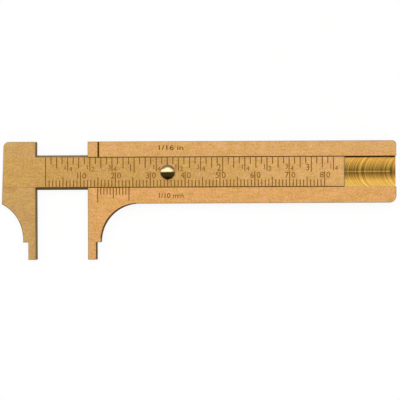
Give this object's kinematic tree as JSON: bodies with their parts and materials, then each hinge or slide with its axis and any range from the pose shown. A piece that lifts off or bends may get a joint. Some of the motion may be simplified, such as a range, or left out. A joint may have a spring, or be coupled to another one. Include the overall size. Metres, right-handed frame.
{
  "type": "pocket caliper",
  "caption": "Flat brass pocket caliper: a dovetail bar with engraved scales slides in a railed frame, and stepped jaws on the frame and on the bar's head measure between them.",
  "frame": {"origin": "on the back face, under the zero line of the vernier, on the centre line of the dovetail channel", "axes": "+X along the scale towards the far end of the frame, +Y away from the jaw tips, +Z out of the scale face"},
  "size_m": [0.1133, 0.0338, 0.0044],
  "materials": {
    "frame_brass": "fine satin grain on the face, bright milled channel",
    "scale_brass": "fine satin grain, engraved lines darkened",
    "stud_brass": "polished",
    "spring_bronze": "rolled spring strip",
    "pin_brass": "turned and filed flush"
  },
  "bodies": {
    "frame_body": {"frame": "frame_brass", "stop_pin": "pin_brass"},
    "slide_body": {"slide_bar": "scale_brass", "jaw_head": "frame_brass", "thumb_stud": "stud_brass", "friction_spring": "spring_bronze", "spring_rivet": "pin_brass", "jaw_pins": "pin_brass"}
  },
  "joints": [
    {"name": "jaw_slide", "type": "slide", "parent": "frame_body", "child": "slide_body", "axis": [-1, 0, 0], "range_m": [-0.0149, 0.0677]}
  ]
}
